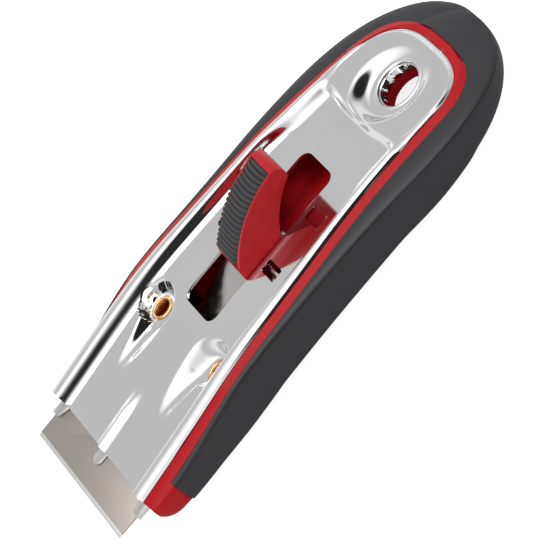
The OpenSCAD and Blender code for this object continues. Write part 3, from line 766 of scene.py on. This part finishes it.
sink = {"height": 3.4, "below": 0.1, "above": 0.3}  # the countersink of the hang hole
sinkDepth = sink["height"] + (sink["below"] + sink["above"])
slopeOut = (plate["dishRadius"] - plate["hangRadius"]) / sink["height"]
clearSelection()
bpy.ops.mesh.primitive_cone_add(
    vertices=96, radius1=(plate["dishRadius"] + sink["below"] * slopeOut) * mm,
    radius2=(plate["hangRadius"] - sink["above"] * slopeOut) * mm, depth=sinkDepth * mm,
    location=spot(plate["hangX"], 0, -underside - sink["below"] + sinkDepth / 2))
cutBy(grip, settle(added("sinkCutter")))
rearReach = plate["length"] + handle["border"] - plateEndX
coreStations = ([gripX - 2] + [gripX + i * 1.5 for i in range(53)]
                + [plateEndX + rearReach * sin(radians(a))
                   for a in list(range(3, 82, 3)) + [83, 85, 87, 88, 89]])
hollow = loftBody("hollow", [sectionAt(x, coreHalf) for x in coreStations])
cutBy(grip, hollow)
smoothBy(grip, 30)
dress(grip, "grip")

# thumb lever and its ribbed pad, whose face is an arc from foot to head
lever = {"edge": 0.35, "footHalf": 5.7, "neckHalf": 4.9, "headHalf": 4.3, "headFall": 0.15}
ribbed = {"foot": (43.1, 1.9), "head": (60.6, 10.2), "radius": 27.7, "width": 7.4,
          "ribs": 19, "perRib": 14, "across": 20, "ribHeight": 0.40, "groove": -0.12,
          "bowLeast": 0.012, "bow": 0.06, "ends": (0.01, 0.985), "lap": (0.66, 0.82),
          "lapLift": 0.1, "edgeFall": 0.25, "thick": 0.7}
padFoot, padHead = ribbed["foot"], ribbed["head"]
chord = (padHead[0] - padFoot[0], padHead[1] - padFoot[1])
chordLength = hypot(*chord)
back = sqrt(ribbed["radius"] ** 2 - (chordLength / 2) ** 2)
padCentre = ((padFoot[0] + padHead[0]) / 2 + chord[1] / chordLength * back,
             (padFoot[1] + padHead[1]) / 2 - chord[0] / chordLength * back)
padStart = atan2(padFoot[1] - padCentre[1], padFoot[0] - padCentre[0])
padEnd = atan2(padHead[1] - padCentre[1], padHead[0] - padCentre[0])


def padPoint(t, r):
    a = padStart + (padEnd - padStart) * t
    return padCentre[0] + r * cos(a), padCentre[1] + r * sin(a)


leverPiece = copyOf("thumb_lever", "thumbLever")
roundEdges(leverPiece, lever["edge"], 3, 30)
smoothBy(leverPiece, 40)
dress(leverPiece, "thumb_lever")

padAlong, padAcross = ribbed["ribs"] * ribbed["perRib"], ribbed["across"]


def ribHeight(t):
    phase = (t * ribbed["ribs"]) % 1.0
    rise = ramp(0.0, 0.24, phase) * (1 - ramp(0.68, 0.92, phase))
    return ribbed["ribHeight"] * rise + ribbed["groove"]


def leverHalf(z):  # half the lever's width at a height
    if z > 5:
        return lever["headHalf"] - lever["headFall"] * (z - 5) / 7
    if z > 2.2:
        return lever["neckHalf"] - (lever["neckHalf"] - lever["headHalf"]) * (z - 2.2) / 2.8
    return lever["footHalf"] - (lever["footHalf"] - lever["neckHalf"]) * (z - 0.4) / 1.8


def padPlace(i, j):
    v = 2 * j / padAcross - 1
    t = i / padAlong
    over = (1 - ramp(*ribbed["lap"], t)) * (v > 0)  # laps over the far edge of the lever
    bend = ribbed["bowLeast"] + ribbed["bow"] * t * (1 - t)
    first, last = ribbed["ends"]
    height = ribHeight(t - bend * v * v) if first < t < last else ribbed["groove"]
    height = max(height, ribbed["lapLift"] * over * ramp(0.7, 0.9, v) + ribbed["groove"])
    height -= ribbed["edgeFall"] * abs(v) ** 6 * (1 - over)
    x, z = padPoint(t, ribbed["radius"] + height)
    half = ribbed["width"] / 2 - 0.02
    return spot(x, v * (half + over * (leverHalf(max(z, 1.0)) + 0.05 - half)), z)


pad = shapedGrid("ribbedPad", padAcross, padAlong, padPlace)
thicken(faceUp(pad), ribbed["thick"])
smoothBy(pad, 50)
dress(pad, "thumb_pad")

# sheet-metal pieces of the slide, and the rivets
strip = {"from": 31.2, "to": 42.3, "low": -4.2, "high": -1.5, "half": 5.6, "thick": 0.3,
         "easeTo": 1.15, "steps": 16}


def stripRise():  # the strip's curved rise to the front of the lever
    line = []
    for i in range(strip["steps"] + 1):
        t = i / strip["steps"]
        up = ramp(0, strip["easeTo"], t) / ramp(0, strip["easeTo"], 1)
        line.append((strip["from"] + (strip["to"] - strip["from"]) * t,
                     strip["low"] + (strip["high"] - strip["low"]) * up))
    line += [(x, z - strip["thick"]) for x, z in reversed(line)]
    return smoothBy(extruded("stripRise", line, -strip["half"], strip["half"]), 35)


sheetPieces = {  # node: its piece's name, and how far its edges are rounded
    "blade_holder": ("bladeHolder", 0.1), "base_plate": ("basePlate", 0.1),
    "razor_blade": ("razorBlade", 0.03), "latch_spring": ("latchSpring", 0.08),
    "spring_strip": ("springStrip", 0.08), "holder_rivets": ("holderRivets", 0.1),
    "lever_rivets": ("leverRivets", 0.1)}
for node, (name, width) in sheetPieces.items():
    piece = copyOf(node, name)
    roundEdges(piece, width, 2, 35)
    smoothBy(piece, 35)
    if node == "spring_strip":
        joined(piece, stripRise())
    dress(piece, node)

# eyelets, each spun from its flanged section
eyelet = {"bore": 1.6, "flange": 2.6, "wall": 0.35, "low": -6.7, "lowFlange": 0.3}
pairOfEyelets = []
for s in (-1, 1):
    b, f, seat = eyelet["bore"], eyelet["flange"], -plate["seat"]
    tube, low, foot = b + eyelet["wall"], eyelet["low"], eyelet["low"] + eyelet["lowFlange"]
    pairOfEyelets.append(spunRing("eyelet", (plate["eyelet"][0], s * plate["eyelet"][1]), [
        (b, low), (f, low), (f, foot), (tube, foot), (tube, seat), (f - 0.05, seat),
        (f, seat + 0.1), (f - 0.12, seat + 0.22), (f - 0.4, seat + 0.3), (b + 0.4, seat + 0.26),
        (b + 0.15, seat + 0.14), (b, seat - 0.1)], 64))
joined(*pairOfEyelets)
pairOfEyelets[0].name = "eyeletPair"
dress(pairOfEyelets[0], "eyelets")

# studio: white floor, soft light and the camera
studio = {"floorSize": 8, "floorDrop": 0.0004, "floor": 0.86, "floorRough": 0.9,
          "floorGlow": 0.85, "fill": 0.70,
          "darkSide": 40, "darkFrom": 0.36, "darkTo": 0.52, "darkest": 0.03,
          "softbox": 4.0, "lampAt": (0.0, 0.05, 0.9), "lampSize": (0.9, 0.5),
          "sky": ((0.0, 0.95), (0.2, 0.95), (0.42, 0.68), (0.56, 0.62), (0.68, 0.66),
                  (0.86, 1.15), (1.0, 1.5))}


def grey(value):
    return (value, value, value, 1)


clearSelection()
bpy.ops.mesh.primitive_plane_add(size=studio["floorSize"],
                                 location=(0, 0, -studio["floorDrop"]))
floor = settle(added("studioFloor"))
floorMat = bpy.data.materials.new("floor_white")
floorMat.use_nodes = True
nodes, links = floorMat.node_tree.nodes, floorMat.node_tree.links
floorShader = nodes["Principled BSDF"]
floorShader.inputs["Base Color"].default_value = grey(studio["floor"])
floorShader.inputs["Roughness"].default_value = studio["floorRough"]
floorShader.inputs["Specular IOR Level"].default_value = 0.0
floorShader.inputs["Emission Color"].default_value = grey(1)
seenRay = nodes.new("ShaderNodeLightPath")  # the white backdrop, as the camera sees it
glow = nodes.new("ShaderNodeMath")
glow.operation = "MULTIPLY"
glow.inputs[1].default_value = studio["floorGlow"]
links.new(seenRay.outputs["Is Camera Ray"], glow.inputs[0])
links.new(glow.outputs["Value"], floorShader.inputs["Emission Strength"])
floor.data.materials.append(floorMat)

world = bpy.data.worlds.new("studio")
bpy.context.scene.world = world
world.use_nodes = True
nodes, links = world.node_tree.nodes, world.node_tree.links
background = nodes["Background"]
rays = nodes.new("ShaderNodeLightPath")
way = nodes.new("ShaderNodeTexCoord")
parts = nodes.new("ShaderNodeSeparateXYZ")
links.new(way.outputs["Generated"], parts.inputs["Vector"])
sky = nodes.new("ShaderNodeValToRGB")  # studio brightness by height
links.new(parts.outputs["Z"], sky.inputs["Fac"])
for e, (at, value) in zip(sky.color_ramp.elements, (studio["sky"][0], studio["sky"][-1])):
    e.position = at
    e.color = grey(value)
for at, value in studio["sky"][1:-1]:
    sky.color_ramp.elements.new(at).color = grey(value)
toward = nodes.new("ShaderNodeVectorMath")  # how far a direction points to the dark side
toward.operation = "DOT_PRODUCT"
turn = radians(studio["darkSide"])
toward.inputs[1].default_value = (sin(turn), -cos(turn), 0)
links.new(way.outputs["Generated"], toward.inputs[0])
front = nodes.new("ShaderNodeMapRange")
front.inputs["From Min"].default_value = studio["darkFrom"]
front.inputs["From Max"].default_value = studio["darkTo"]
front.inputs["To Min"].default_value = 1.0
front.inputs["To Max"].default_value = studio["darkest"]
links.new(toward.outputs["Value"], front.inputs["Value"])
shade = mixColour(nodes, links, 1, sky.outputs["Color"], front.outputs["Result"], "MULTIPLY")
glossy = mixColour(nodes, links, rays.outputs["Is Glossy Ray"], grey(studio["fill"]), shade)
seen = mixColour(nodes, links, rays.outputs["Is Camera Ray"], glossy, grey(1))
links.new(seen, background.inputs["Color"])


def softLamp(name, place, aim, size, power):
    data = bpy.data.lights.new(name, "AREA")
    data.shape = "RECTANGLE"
    data.size, data.size_y = size
    data.energy = power
    lamp = bpy.data.objects.new(name, data)
    bpy.context.scene.collection.objects.link(lamp)
    lamp.location = place
    lamp.rotation_euler = (Vector(aim) - Vector(place)).to_track_quat("-Z", "Y").to_euler()
    return lamp


softLamp("overheadSoftbox", studio["lampAt"], (0, 0, 0), studio["lampSize"], studio["softbox"])
print("studio lit")

view = {"place": (113.62, -551.21, 426.26), "azimuth": 7.008, "elevation": 37.979,
        "roll": -54.452, "lens": 251.51}
az, el, roll = (radians(view[k]) for k in ("azimuth", "elevation", "roll"))
out = Vector((sin(az) * cos(el), -cos(az) * cos(el), sin(el)))
level = Vector((cos(az), sin(az), 0))
rise = out.cross(level)
right = level * cos(roll) + rise * sin(roll)
up = -level * sin(roll) + rise * cos(roll)
cameraData = bpy.data.cameras.new("photoCamera")
cameraData.lens = view["lens"]
cameraData.sensor_width = 36
cameraData.clip_start = 0.01
camera = bpy.data.objects.new("photoCamera", cameraData)
bpy.context.scene.collection.objects.link(camera)
turned = Matrix((right, up, out)).transposed().to_4x4()
turned.translation = spot(*view["place"])
camera.matrix_world = turned
bpy.context.scene.camera = camera
bpy.context.scene.view_settings.view_transform = "Standard"

print("scene ready")
